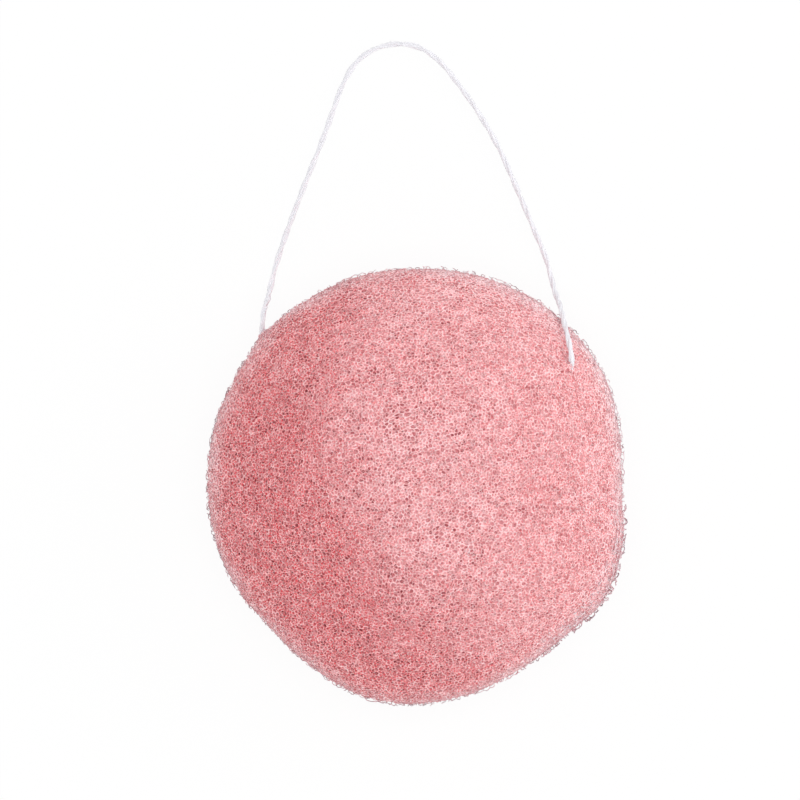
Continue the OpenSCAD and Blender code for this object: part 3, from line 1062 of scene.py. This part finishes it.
@dataclass(frozen=True)
class StrandGrower:
    """Turns loose edges into thin strands of gel or fibre, three-sided and shaded as if round."""

    name: str
    radius: float
    sides: int = 3
    uv_gap: float = 0.05

    @property
    def sizes(self) -> dict[str, float | int]:
        """The tree's named sizes."""
        return {"Radius": self.radius, "Sides": self.sides}

    def tree(self, material: Material) -> Tree:
        """Tree that sweeps a small ring along each edge and marks where each point of the strands is.

        Args:
            material: Finish of the strands.

        Returns:
            The finished tree.
        """
        tree, add, given = new_tree(f"{self.name}_strands", self.sizes)
        size = given.outputs
        lines = add("GeometryNodeMeshToCurve", [size["Geometry"]])
        ring = {"Resolution": size["Sides"], "Radius": size["Radius"]}
        ring = add("GeometryNodeCurvePrimitiveCircle", ring)
        number, ahead = add("GeometryNodeInputIndex"), add("GeometryNodeSplineParameter")
        for mark, value, domain in ((Mark.NUMBER, number, "CURVE"), (Mark.AHEAD, ahead, "POINT")):
            stored = {"Geometry": lines, "Name": mark.value, "Value": value}
            lines = add("GeometryNodeStoreNamedAttribute", stored, data_type="FLOAT", domain=domain)
        stored = {"Geometry": ring, "Name": Mark.ROUND.value, "Value": number}
        ring = add("GeometryNodeStoreNamedAttribute", stored, data_type="FLOAT", domain="POINT")
        thick = add("GeometryNodeInputNamedAttribute", [Mark.STRAND.value], data_type="FLOAT")
        swept = add("GeometryNodeCurveToMesh", {"Curve": lines, "Profile Curve": ring, "Scale": thick})
        close_tree(add, swept, material)
        return tree

    def unwrapped(self, mesh: Mesh) -> None:
        """Gives the strands their own UV map: a small square of it for each strand.

        Args:
            mesh: Mesh of the strands, with their marks, which are taken off.
        """
        loops = read(mesh.loops, "vertex_index", kind=np.int32)
        value = {}
        for mark in (Mark.NUMBER, Mark.AHEAD, Mark.ROUND):
            value[mark] = read(mesh.attributes[mark.value].data, "value")[loops].astype(float)
            mesh.attributes.remove(mesh.attributes[mark.value])
        # Every face has four corners, and those of the last side end where the first side starts
        side = value[Mark.ROUND].reshape(-1, 4)
        closing = (side == 0) & (side.max(axis=1) == self.sides - 1)[:, None]
        side = np.where(closing, self.sides, side).ravel()
        many = math.ceil(math.sqrt(value[Mark.NUMBER].max() + 1))
        column, row = value[Mark.NUMBER] % many, value[Mark.NUMBER] // many
        size = 1 - 2 * self.uv_gap
        across = column + self.uv_gap + size * side / self.sides
        up = row + self.uv_gap + size * value[Mark.AHEAD]
        lay_uv(mesh, np.column_stack([across, up]) / many)

    def build(self, points: Array, edges: Array, thick: Array, free: Array, material: Material) -> Object:
        """Makes the strands.

        Args:
            points: Ends and bends of the strands.
            edges: Pairs of point numbers.
            thick: Thickness of the strand at each point, as a share of the radius.
            free: How far each point stands out free of the foam, from 0 to 1; for the foam's walls and fibres,
                how strongly they are painted pale near the rim, as painted light.
            material: Finish of the strands.

        Returns:
            The piece.
        """
        piece = mesh_of(self.name, points, edges, [])
        point_values(piece.data, Mark.STRAND, thick)
        point_values(piece.data, Mark.RIM, free)
        piece = grown(piece, self.tree(material), self.sizes, self.name)
        self.unwrapped(piece.data)
        return piece


def wall_lines(points: Array, faces: list[Face]) -> tuple[Array, Array]:
    """The cell walls of a triangle net: lines between the middles of neighbouring triangles.

    Args:
        points: The net's points.
        faces: The net's triangles.

    Returns:
        The triangles' middles, and the walls as pairs of triangle numbers.
    """
    tri = np.array(faces)
    pairs = np.sort(np.vstack([tri[:, [0, 1]], tri[:, [1, 2]], tri[:, [2, 0]]]), axis=1)
    owner = np.tile(np.arange(len(tri)), 3)
    codes = pairs[:, 0].astype(np.int64) * len(points) + pairs[:, 1]
    order = np.argsort(codes, kind="stable")
    same = codes[order][1:] == codes[order][:-1]
    return points[tri].mean(axis=1), np.column_stack([owner[order][:-1][same], owner[order][1:][same]])


def trimmed(lines: Array, loose: Array) -> Array:
    """Takes away walls that end in the air, so that what is left hangs together in loops.

    Args:
        lines: Walls as pairs of point numbers.
        loose: Whether a wall that ends at each point may go.

    Returns:
        The walls that are left.
    """
    ends = np.bincount(lines.ravel(), minlength=len(loose)) == 1
    return lines[~(ends & loose)[lines].any(axis=1)]


@dataclass(frozen=True)
class WallNet:
    """Loose net of raised cell walls in one layer over the skin, with walls missing by chance.

    Low on the dome, where the skin is steep, the net stands further off it.
    """

    cell: float = 0.8 * MM
    base_share: float = 1.4
    radius: float = 0.06 * MM
    thickness: Pair = (0.6, 1.4)
    lift: float = 0.05 * MM
    uneven: float = 0.06 * MM
    loose: float = 0.2 * MM
    loose_levels: Pair = (4 * MM, 16 * MM)
    steep_from: float = 0.5
    kept: float = 0.42
    patches: Noises = ((0.4, 3.5 * MM, 51),)
    lowest: float = 0.6 * MM
    longest: float = 3.0
    seed: int = 51

    def build(self, skin: FoamSkin, material: Material) -> Object:
        """Makes the net.

        Args:
            skin: The skin that it lies on.
            material: Finish of the strands.

        Returns:
            The piece.
        """
        rng = np.random.default_rng(self.seed)
        grid = replace(skin, cell=self.cell, base_cell=self.cell * self.base_share, seed=self.seed)
        points, faces = grid.net()
        middle, walls = wall_lines(skin.shaped(points), faces)
        away = unit(middle - np.array([0, 0, skin.form.widest_z]))
        steep = 1 - smooth_step(middle[:, 2], *(skin.form.widest_z + level for level in self.loose_levels))
        off = rng.uniform(-1, 1, len(middle))
        lift = self.lift + self.uneven * off + self.loose * steep * np.maximum(off, 0)
        middle = middle + away * lift[:, None]
        ends = middle[walls]
        half = ends.mean(axis=1)
        long = lengths(ends[:, 1] - ends[:, 0])
        chance = self.kept * (1 + mixed_noise(half, self.patches)) * (half[:, 2] > self.lowest)
        walls = walls[(rng.random(len(walls)) < chance) & (long < self.longest * self.cell)]
        walls = trimmed(walls, steep > self.steep_from)
        used, walls = np.unique(walls, return_inverse=True)
        thick = rng.uniform(*self.thickness, len(used))
        # Painted light: walls near the rim get the strands' paler rim colour.
        free = skin.rim.nearness(middle[used], skin.form)
        grower = StrandGrower("wall_net", self.radius)
        return grower.build(middle[used], walls.reshape(-1, 2), thick, free, material)


@dataclass(frozen=True)
class RimLace:
    """Open lace round the rim, where the foam has thinned to loose cell walls.

    Two wavy layers stand out round the widest level, and higher ones only where the rim is widest. Towards
    the air fewer walls stay, and most of the outermost ones run along the rim.
    """

    form: PuffForm
    rim: RimPlan
    cell: float = 0.68 * MM
    scatter: float = 0.46
    missing: float = 0.12
    radius: float = 0.09 * MM
    thickness: Pair = (0.6, 1.3)
    first_row: float = 0.45
    layer_shift: float = 0.01
    wave: float = 1.5 * MM
    wide_wave: float = 0.5
    tangles: Noises = ((1, 3.4 * MM, 60), (1.3, 1.0 * MM, 70))
    levels: tuple[float, ...] = (0, 0.7 * MM, 2 * MM, 4 * MM, 5.6 * MM, 7.2 * MM, 8.8 * MM)
    reach_in: float = 3.6 * MM
    shelf: float = 0.5 * MM
    wide: Pair = (1 * MM, 2 * MM)
    wide_chance: float = 0.65
    low_chance: float = 0.92
    out_loss: Pair = (0.15, 0.25)
    uneven: float = 0.9
    uneven_grain: float = 2.0 * MM
    uneven_seed: int = 8
    outer_band: float = 0.1 * MM
    outermost: Pair = (1.2, 0.7)
    rooted: float = 0.5 * MM
    longest: float = 5.0
    swell: Point = (1.1, 0.25, 0.7)
    free_edge: Pair = (0, 0.3 * MM)
    grey: Noises = ((1, 1.6 * MM, 29),)
    grey_edge: Pair = (-0.4, 0.3)
    seed: int = 23

    def layer(self, number: int, rng: np.random.Generator) -> tuple[Array, Array]:
        """One wavy layer of the lace.

        Args:
            number: Number of the layer; each lies at its own level.
            rng: Source of chance.

        Returns:
            Ends of the walls, and the walls as pairs of their numbers.
        """
        many = round(FULL_TURN * self.form.half_mean / self.cell)
        turns, depths = [], []
        for row in range(-1, math.ceil(self.reach_in / (self.cell * ROW)) + 1):
            start = np.arange(many) + rng.uniform(0, 1)
            turn = (start + rng.uniform(-self.scatter, self.scatter, many)) * FULL_TURN / many
            row_at = row + self.first_row
            depth = (row_at + rng.uniform(-self.scatter, self.scatter, many)) * self.cell * ROW
            kept = rng.random(many) > self.missing
            turns.append(turn[kept])
            depths.append(depth[kept])
        edge = self.form.edge(np.concatenate(turns))
        far = lengths(edge)
        plan = edge * ((far - np.concatenate(depths)) / far)[:, None]
        middle, walls = wall_lines(np.column_stack([plan, np.zeros(len(plan))]), net_faces(turns))
        flat = np.column_stack([middle[:, :2], np.full(len(middle), number * self.layer_shift)])
        tangle = mixed_noise(flat, tuple((*tangle, seed + number) for *tangle, seed in self.tangles))
        wave = self.wave * tangle * (self.wide_wave if number > 1 else 1)
        middle[:, 2] = self.form.widest_z + self.levels[number] + wave
        return middle, walls

    def staying(self, number: int, middle: Array, lines: Array, rng: np.random.Generator) -> Array:
        """Picks the walls of a layer that stay: fewer towards the open air, and none deep inside the foam.

        Args:
            number: Number of the layer.
            middle: Ends of the walls.
            lines: The walls as pairs of their numbers.
            rng: Source of chance.

        Returns:
            The walls that stay.
        """
        ends = middle[lines]
        half, along = ends.mean(axis=1), ends[:, 1] - ends[:, 0]
        turn, far = polar(half)
        full = lengths(self.form.edge(turn))
        gone = full - far
        width = self.rim.width(turn)
        level = np.full(len(turn), self.form.widest_z + self.levels[number])
        skin = full - self.form.radius_at(turn, level) + self.rim.inset * width
        out = 1 - np.clip(gone / width, 0, 1)
        if number > 1:
            chance = self.wide_chance * smooth_step(width, *self.wide) * (gone > skin - self.shelf)
        else:
            uneven = 1 + self.uneven * soft_noise(half, self.uneven_grain, self.uneven_seed + number)
            chance = self.low_chance - self.out_loss[number] * out * uneven
        across = np.abs(np.sum(along[:, :2] * half[:, :2], axis=1))
        across /= lengths(along[:, :2]) * far
        most, fall = self.outermost
        chance = chance * np.where(gone < self.outer_band, most - fall * across, 1.0)
        long = lengths(along)
        stays = (rng.random(len(lines)) < chance) & (long < self.longest * self.cell)
        stays &= gone < skin + self.rooted
        return trimmed(lines[stays], np.ones(len(middle), dtype=bool))

    def build(self, material: Material) -> Object:
        """Makes the lace.

        Args:
            material: Finish of the strands.

        Returns:
            The piece.
        """
        rng = np.random.default_rng(self.seed)
        points, walls, count = [], [], 0
        for number in range(len(self.levels)):
            middle, lines = self.layer(number, rng)
            points.append(middle)
            walls.append(self.staying(number, middle, lines, rng) + count)
            count += len(middle)
        used, walls = np.unique(np.vstack(walls), return_inverse=True)
        points = np.vstack(points)[used]
        turn, far = polar(points)
        gone = lengths(self.form.edge(turn)) - far
        width = self.rim.width(turn)
        out = 1 - np.clip(gone / width, 0, 1)
        whole, thin_out, wide_more = self.swell
        swell = whole - thin_out * out + wide_more * smooth_step(width, *self.wide)
        thick = rng.uniform(*self.thickness, len(points)) * swell
        grey = smooth_step(mixed_noise(points, self.grey), *self.grey_edge)
        free = (1 - smooth_step(gone, *self.free_edge)) * grey
        grower = StrandGrower("rim_lace", self.radius)
        return grower.build(points, walls.reshape(-1, 2), thick, free, material)


@dataclass(frozen=True)
class LooseFibres:
    """Torn cell walls that stand off the skin as short arches, most of them near the rim.

    Each place's chance of one rises near the rim, most of all beside the widest lace.
    """

    count: int = 10500
    longest: float = 1.3 * MM
    long_shares: Pair = (0.35, 1)
    highest: float = 0.3 * MM
    high_shares: Pair = (0.25, 1)
    rim_higher: float = 0.3
    bow: float = 0.35
    flatness: Point = (1, 1, 0.6)
    radius: float = 0.075 * MM
    thinner_ends: float = 0.5
    root: float = 0.12 * MM
    lowest: float = 0.1 * MM
    base_to: float = 1.5 * MM
    base_share: float = 0.35
    rim_share: float = 0.9
    lace_share: Pair = (0.4, 1.5 * MM)
    rim_band: float = 6 * MM
    bends: int = 3
    seed: int = 31

    def build(self, skin: FoamSkin, material: Material) -> Object:
        """Makes the arches.

        Args:
            skin: The skin that they stand on.
            material: Finish of the strands.

        Returns:
            The piece.
        """
        rng = np.random.default_rng(self.seed)
        points, faces = skin.net()
        sides = skin.shaped(points)[np.array(faces)]
        middle = sides.mean(axis=1)
        normal = unit(np.cross(sides[:, 1] - sides[:, 0], sides[:, 2] - sides[:, 0]))
        rim = np.exp(-(((middle[:, 2] - skin.form.widest_z) / self.rim_band) ** 2))
        width = skin.rim.width(polar(middle)[0])
        least, lace_width = self.lace_share
        share = self.base_share + self.rim_share * rim * (least + width / lace_width)
        weight = np.where(middle[:, 2] > self.base_to, share, 0)
        pick = rng.choice(len(middle), self.count, p=weight / weight.sum())
        at, up = middle[pick], normal[pick]
        side = rng.normal(0, 1, at.shape) * self.flatness
        side = unit(side - up * np.sum(side * up, axis=1)[:, None])
        across = np.cross(up, side)
        long = rng.uniform(*self.long_shares, self.count) * self.longest
        high = rng.uniform(*self.high_shares, self.count) * self.highest * (1 + self.rim_higher * rim[pick])
        bow = rng.uniform(-self.bow, self.bow, self.count) * long
        arch = []
        steps = np.linspace(-1, 1, self.bends + 1)
        for t in steps:
            rise = (1 - t * t) * high - self.root
            bowed = across * ((1 - t * t) * bow)[:, None]
            arch.append(at + side * (t * long / 2)[:, None] + bowed + up * rise[:, None])
        line = np.stack(arch, axis=1).reshape(-1, 3)
        line[:, 2] = np.maximum(line[:, 2], self.lowest)
        first = np.arange(self.count)[:, None] * (self.bends + 1) + np.arange(self.bends)[None, :]
        edges = np.stack([first, first + 1], axis=-1).reshape(-1, 2)
        thick = np.tile(1 - self.thinner_ends * np.abs(steps), self.count)
        # Painted light: fibres near the rim get the paler rim colour.
        free = skin.rim.nearness(line, skin.form)
        return StrandGrower("loose_fibres", self.radius).build(line, edges, thick, free, material)


# The string


@dataclass(frozen=True)
class StringWay:
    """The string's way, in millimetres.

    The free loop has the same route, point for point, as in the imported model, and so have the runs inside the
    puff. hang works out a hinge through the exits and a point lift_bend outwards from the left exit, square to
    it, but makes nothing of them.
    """

    left_mouth: Point = (-28.8, 28.41, 11)
    right_mouth: Point = (28.91, 22.34, 23.84)
    stand_out: float = 0.8
    lead: Point = (0, 0.8, 0)
    outwards: Point = (0, 0.8, -0.6)
    lift_bend: float = 3.0
    bend: float = 3.0
    run_y: float = 19.34
    knot_x: float = 0.05
    knot_reach: float = 3.4
    lowest: float = 0.6
    samples: int = 6
    bend_steps: int = 9
    run_steps: int = 12
    route: tuple[Point, ...] = (
        (-28.7, 31.2, 10.8), (-28.6, 32.6, 9.6), (-28.3, 33.8, 7.4), (-27.9, 35.2, 4.6),
        (-27.5, 37, 2.2), (-27, 39.2, 1), (-26.3, 42, 0.6), (-24.3, 48, 0.6), (-21.3, 56, 0.6),
        (-18.1, 64, 0.6), (-15.7, 70.5, 0.6), (-14, 75.2, 0.6), (-11.6, 79.4, 0.6),
        (-8.8, 81.8, 0.6), (-5.8, 83, 0.6), (-2.6, 83.3, 0.6), (0.4, 82.7, 0.6), (3.2, 81.1, 0.6),
        (5.6, 78.8, 0.6), (8.4, 75.2, 0.6), (11.9, 70.2, 0.6), (15.5, 64, 0.6), (18.8, 56.6, 0.6),
        (22, 49, 0.6), (24.2, 43.8, 0.6), (25.1, 40.8, 0.9), (25.7, 38.4, 2), (26.2, 36.6, 4),
        (26.6, 35.2, 6.8), (27, 34, 9.8), (27.2, 33, 12.6), (27.5, 31.6, 15.6), (27.8, 30, 18.2),
        (28.2, 28.2, 20.5), (28.5, 26.6, 22.3), (28.8, 25.2, 23.5),
    )

    @property
    def exits(self) -> tuple[Array, Array]:
        """The two points, just outside the mouths, where the free loop starts and ends."""
        out = np.array([0, self.stand_out, 0])
        return np.array(self.left_mouth) + out, np.array(self.right_mouth) + out

    def loop(self) -> Array:
        """The free loop's line, smooth through its route and never lower than the string's half thickness.

        Returns:
            Points in metres.
        """
        left, right = self.exits
        lead = np.array(self.lead)
        way = np.array([left, left + lead, *self.route, right + lead, right], dtype=float)
        way = np.vstack([2 * way[0] - way[1], way, 2 * way[-1] - way[-2]])
        line = []
        for ends in zip(way[:-3], way[1:-2], way[2:-1], way[3:]):
            line += [smooth_curve(*ends, t) for t in np.arange(self.samples) / self.samples]
        line = np.array([*line, way[-2]])
        line[:, 2] = np.maximum(line[:, 2], self.lowest)
        return line * MM

    def rounded(self, middle: Array, start: Point, end: Point) -> Array:
        """Quarter turn round a middle, between two directions from it."""
        turns = np.linspace(0, QUARTER_TURN, self.bend_steps)
        return middle + self.bend * spun(np.array(start), np.array(end), turns)

    def straight(self, start: float, end: float) -> Array:
        """Stretch along the run inside the puff, between two values of x."""
        spots = np.linspace(start, end, self.run_steps)
        return np.column_stack([spots, 0 * spots + self.run_y, 0 * spots + self.left_mouth[2]])

    def left_run(self) -> Array:
        """From the left exit straight in, round a bend and along to the knot.

        Returns:
            Points in metres.
        """
        left = self.exits[0]
        middle = np.array([left[0] + self.bend, self.run_y + self.bend, left[2]])
        bend = self.rounded(middle, (-1, 0, 0), (0, -1, 0))
        return np.vstack([left, bend, self.straight(middle[0], self.knot_x - self.knot_reach)[1:]]) * MM

    def right_run(self) -> Array:
        """From the knot along, up a riser and out to the right exit.

        Returns:
            Points in metres.
        """
        right = self.exits[1]
        low = np.array([right[0] - self.bend, self.run_y, self.left_mouth[2] + self.bend])
        high = np.array([right[0], self.run_y + self.bend, right[2] - self.bend])
        along = self.straight(self.knot_x + self.knot_reach, low[0])[:-1]
        lower = self.rounded(low, (0, 0, -1), (1, 0, 0))
        upper = self.rounded(high, (0, -1, 0), (0, 0, 1))
        return np.vstack([along, lower, upper, right]) * MM


@dataclass(frozen=True)
class TwistedString:
    """Cotton string of two plies laid round each other, each ply of three yarns twisted the other way."""

    diameter: float = 1.1 * MM
    plies: int = 2
    yarns: int = 3
    ply_lay: float = 9.5 * MM
    yarn_lay: float = 24 * MM
    ply_share: float = 0.145
    yarn_share: float = 0.16
    yarn_radius: float = 0.213
    slub: float = 0.12
    slub_length: float = 1.3 * MM
    slub_shift: float = 0.01
    slub_seed: int = 6
    step: float = 0.36 * MM
    sides: int = 7
    end_dome: float = 0.3

    def even(self, line: Array) -> Array:
        """Spaces a line's points evenly.

        Args:
            line: Points of the line.

        Returns:
            Evenly spaced points with the same two ends.
        """
        along = np.concatenate([[0], np.cumsum(lengths(np.diff(line, axis=0)))])
        spots = np.linspace(0, along[-1], max(4, round(along[-1] / self.step)) + 1)
        return np.column_stack([np.interp(spots, along, line[:, i]) for i in range(3)])

    @staticmethod
    def carried(line: Array) -> tuple[Array, Array]:
        """Two directions across a line that don't spin along it.

        Args:
            line: Points of the line.

        Returns:
            The first and the second direction at each point.
        """
        ahead = unit(np.gradient(line, axis=0))
        first = np.zeros_like(line)
        start = np.cross(ahead[0], ASKEW)
        first[0] = start / lengths(start)
        for i in range(1, len(line)):
            moved = first[i - 1] - ahead[i] * np.dot(first[i - 1], ahead[i])
            first[i] = moved / lengths(moved)
        return first, np.cross(ahead, first)

    def tube(self, line: Array, radius: Array, first: int) -> tuple[Array, list[tuple[int, ...]]]:
        """Round tube along a line, closed by small domes.

        Args:
            line: Points of the line.
            radius: Radius at each point.
            first: Number of the tube's first point in the whole mesh.

        Returns:
            The tube's points and faces.
        """
        one, two = self.carried(line)
        turn = np.arange(self.sides) * FULL_TURN / self.sides
        ring = np.cos(turn)[None, :, None] * one[:, None, :] + np.sin(turn)[None, :, None] * two[:, None, :]
        points = (line[:, None, :] + ring * radius[:, None, None]).reshape(-1, 3)
        dome = self.end_dome
        tips = [line[0] - (line[1] - line[0]) * dome, line[-1] + (line[-1] - line[-2]) * dome]
        faces = []
        for i, j in itertools.product(range(len(line) - 1), range(self.sides)):
            a, b = i * self.sides + j, i * self.sides + (j + 1) % self.sides
            faces.append((first + a, first + b, first + b + self.sides, first + a + self.sides))
        tail, nose = first + len(points), first + len(points) + 1
        last = first + (len(line) - 1) * self.sides
        for j in range(self.sides):
            k = (j + 1) % self.sides
            faces += [(first + k, first + j, tail), (last + j, last + k, nose)]
        return np.vstack([points, tips]), faces

    def build(self, name: str, line: Array, material: Material) -> Object:
        """Makes a length of string.

        Args:
            name: Name of the piece.
            line: The string's middle line.
            material: Finish of the cotton.

        Returns:
            The piece.
        """
        line = self.even(line)
        one, two = self.carried(line)
        along = np.arange(len(line)) * lengths(line[1] - line[0])
        points, faces, count = [], [], 0
        for ply in range(self.plies):
            turn = FULL_TURN * (along / self.ply_lay + ply / self.plies)
            middle = line + self.diameter * self.ply_share * spun(one, two, turn)
            for yarn in range(self.yarns):
                wind = turn - FULL_TURN * (along / self.yarn_lay + yarn / self.yarns)
                path = middle + self.diameter * self.yarn_share * spun(one, two, wind)
                shifts = (0 * along + number * self.slub_shift for number in (ply, yarn))
                spots = np.column_stack([along, *shifts])
                uneven = 1 + self.slub * soft_noise(spots, self.slub_length, self.slub_seed)
                more, sides = self.tube(path, self.diameter * self.yarn_radius * uneven, count)
                points.append(more)
                faces += sides
                count += len(more)
        piece = mesh_of(name, np.vstack(points), [], faces)
        piece.data.materials.append(material)
        smoothed(piece.data)
        return piece


@dataclass(frozen=True)
class StringFuzz:
    """Fine cotton fibres that stand off a string, each with a root, a bend and a tip."""

    per_mm: float = 5.0
    longest: float = 0.7 * MM
    long_roots: Pair = (0.2, 1)  # square roots of the shortest and longest share
    radius: float = 0.014 * MM
    thick: Point = (1.0, 0.7, 0.3)
    root: float = 0.36
    half: float = 0.6
    rise: Pair = (0.5, 0.35)
    lean: Pair = (1, 1.2)
    curl: float = 0.6
    lowest: float = 0.02 * MM
    seed: int = 41

    def build(self, name: str, string: TwistedString, line: Array, material: Material) -> Object:
        """Makes the fibres.

        Args:
            name: Name of the piece.
            string: The string that they stand on.
            line: The string's middle line.
            material: Finish of the cotton.

        Returns:
            The piece.
        """
        rng = np.random.default_rng(self.seed)
        line = string.even(line)
        one, two = string.carried(line)
        many = int(len(line) * string.step / MM * self.per_mm)
        at = rng.integers(2, len(line) - 2, many)
        out = spun(one[at], two[at], rng.uniform(0, FULL_TURN, many))
        ahead = (line[at + 1] - line[at - 1]) / (2 * string.step)
        lean = rng.uniform(-1, 1, many)[:, None]
        long = (rng.uniform(*self.long_roots, many) ** 2)[:, None] * self.longest
        curl = np.cross(out, ahead) * rng.uniform(-self.curl, self.curl, many)[:, None]
        parts = [line[at] + out * string.diameter * self.root]
        for rise, more, curled in zip(self.rise, self.lean, (0, curl)):
            parts.append(parts[-1] + (out * rise + ahead * lean * more + curled) * long * self.half)
        points = np.stack(parts, axis=1).reshape(-1, 3)
        points[:, 2] = np.maximum(points[:, 2], self.lowest)
        base = np.arange(many) * 3
        edges = np.concatenate([np.column_stack([base, base + 1]), np.column_stack([base + 1, base + 2])])
        thick = np.tile(self.thick, many)
        return StrandGrower(name, self.radius).build(points, edges, thick, 0 * thick, material)


# The studio


@dataclass(frozen=True)
class Lamp:
    """One soft square lamp that points at the sponge, with its side in metres and its power in watts."""

    name: str
    place: Point
    size: float
    power: float

    def build(self) -> None:
        """Adds the lamp to the scene."""
        data = bpy.data.lights.new(self.name, "AREA")
        data.size, data.energy = self.size, self.power
        lamp = bpy.data.objects.new(self.name, data)
        lamp.location = self.place
        lamp.rotation_mode = "QUATERNION"
        lamp.rotation_quaternion = (-Vector(self.place)).to_track_quat("-Z", "Y")
        bpy.context.scene.collection.objects.link(lamp)


@dataclass(frozen=True)
class Studio:
    """Plain white table top, soft light from the right and above, and a camera that looks straight down.

    The room's walls light the puff's side, less on the left than on the right, and its ceiling hardly does.
    The puff's middle stands at middle_px in the photograph's frame.
    """

    pixel: float = 0.188 * MM
    middle_px: Pair = (416, 486)
    frame_px: int = 800
    far: float = 1.67
    sensor: float = 36.0
    clip: Pair = (0.05, 10)
    focus_z: float = 6 * MM
    lamps: tuple[Lamp, ...] = (
        Lamp("key_right", (0.95, 0.3, 0.48), 0.6, 1.7), Lamp("fill_top", (0.0, 0.0, 1.3), 1.0, 9.4),
    )
    walls: Pair = (1.26, 1.6)
    ceiling: float = 0.2
    table_half: float = 3.0
    card: str = "#F4F4F4"
    card_lift: float = 0.92

    def camera(self) -> None:
        """Makes the camera over the middle of the photograph's frame."""
        data = bpy.data.cameras.new("studio_camera")
        data.sensor_width = self.sensor
        data.lens = self.sensor * self.far / (self.frame_px * self.pixel)
        data.clip_start, data.clip_end = self.clip
        camera = bpy.data.objects.new("studio_camera", data)
        across, down = (self.frame_px / 2 - px for px in self.middle_px)
        camera.location = (across * self.pixel, -down * self.pixel, self.far + self.focus_z)
        bpy.context.scene.collection.objects.link(camera)
        bpy.context.scene.camera = camera

    def room(self) -> None:
        """Adds the pale surroundings, which the camera and reflections see as plain white."""
        world = bpy.data.worlds.new("pale_room")
        bpy.context.scene.world = world
        world.use_nodes = True
        world.node_tree.nodes.clear()
        add = partial(add_node, world.node_tree)
        path = add("ShaderNodeLightPath").outputs
        seen = add("ShaderNodeMath", [path["Is Camera Ray"], path["Is Glossy Ray"]], operation="MAXIMUM")
        way = add("ShaderNodeSeparateXYZ", [add("ShaderNodeTexCoord").outputs["Generated"]]).outputs
        wall = add("ShaderNodeMapRange", [way["X"], -1.0, 1.0, *self.walls])
        tent = add("ShaderNodeMapRange", [way["Z"], 0.0, 1.0, wall, self.ceiling])
        room, back = (add("ShaderNodeBackground", {"Color": WHITE, "Strength": v}) for v in (tent, 1.0))
        add("ShaderNodeOutputWorld", {"Surface": add("ShaderNodeMixShader", [seen, room, back])})

    def floor(self) -> None:
        """Adds the white table top, which keeps a faint shadow."""
        side = self.table_half
        corners = np.array([[-side, -side, 0], [side, -side, 0], [side, side, 0], [-side, side, 0]])
        piece = mesh_of("table_top", corners, [], [(0, 1, 2, 3)])
        material, add = new_material("white_card_matt")
        seen = add("ShaderNodeLightPath").outputs["Is Camera Ray"]
        card = add("ShaderNodeBsdfDiffuse", {"Color": linear(self.card)})
        glow = add("ShaderNodeEmission", {"Color": WHITE, "Strength": 1.0})
        lift = add("ShaderNodeMath", [seen, self.card_lift], operation="MULTIPLY")
        add("ShaderNodeOutputMaterial", {"Surface": add("ShaderNodeMixShader", [lift, card, glow])})
        piece.data.materials.append(material)

    def build(self) -> None:
        """Sets up the light and the table top."""
        for lamp in self.lamps:
            lamp.build()
        self.room()
        self.floor()
        bpy.context.scene.view_settings.view_transform = "Standard"


def report(piece: Object) -> None:
    """Logs a piece's name and size."""
    LOG.info("%s: %d points, %d faces", piece.name, len(piece.data.vertices), len(piece.data.polygons))


def hang(way: StringWay, cotton: Material) -> None:
    """Makes the string: the free loop with its fibres, and the runs and the knot inside the puff.

    Args:
        way: Where the string goes.
        cotton: Its finish.
    """
    string = TwistedString()
    line = way.loop()
    left_exit, right_exit = (p * MM for p in way.exits)
    loop = string.build("hanging_loop", line, cotton)
    fuzz = StringFuzz().build("loop_fuzz", string, line, cotton)
    hinge = (right_exit - left_exit) / lengths(right_exit - left_exit)
    out = np.array(way.outwards)
    out = out - hinge * np.dot(out, hinge)
    out /= lengths(out)
    start, end = tuple(left_exit), tuple(left_exit + out * way.lift_bend * MM)
    for piece in (loop, fuzz):
        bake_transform(piece)
        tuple(start)
        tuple(end)
        report(piece)
    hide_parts("string_loop")
    length = float(lengths(np.diff(line, axis=0)).sum())
    tuple(left_exit)
    [tuple(p) for p in line]
    LOG.info("free string %.1f mm", length / MM)
    for side, run in (("left", way.left_run()), ("right", way.right_run())):
        piece = string.build(f"inner_string_{side}", run, cotton)
        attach(piece, Body.SPONGE.value)
        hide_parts(f"string_run_{side}")
        report(piece)
    for place in bpy.data.objects["string_knot"].material_slots:
        place.material = cotton


def puff(way: StringWay) -> None:
    """Makes the foam: its skin, the lace round its rim, and the loose walls on it.

    Args:
        way: Where the string goes, for the lips round its mouths.
    """
    form, rim = PuffForm(), RimPlan()
    mouths = tuple(tuple(v * MM for v in m) for m in (way.left_mouth, way.right_mouth))
    skin = FoamSkin(form, rim, mouths)
    foam = skin.build(FoamFinish().material())
    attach(foam, Body.SPONGE.value)
    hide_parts("sponge_body")
    report(foam)
    strands = StrandFinish().material()
    # Fibres: the last colour is painted light near the rim, the dyed one partly painted shade.
    fibres = StrandFinish("konjac_foam_fibres", "#FFD8DB", "#F49EA4", "#F89198", "#F4E2E6").material()
    lace, net = RimLace(form, rim).build(strands), WallNet().build(skin, fibres)
    for piece in (lace, net, LooseFibres().build(skin, fibres)):
        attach(piece, Body.SPONGE.value)
        report(piece)


def main() -> None:
    """Builds the dressed sponge, piece by piece."""
    logging.basicConfig(level=logging.INFO, format="%(message)s")
    studio, way = Studio(), StringWay()
    studio.camera()
    hang(way, CottonFinish().material())
    puff(way)
    studio.build()


if __name__ == "__main__":
    main()
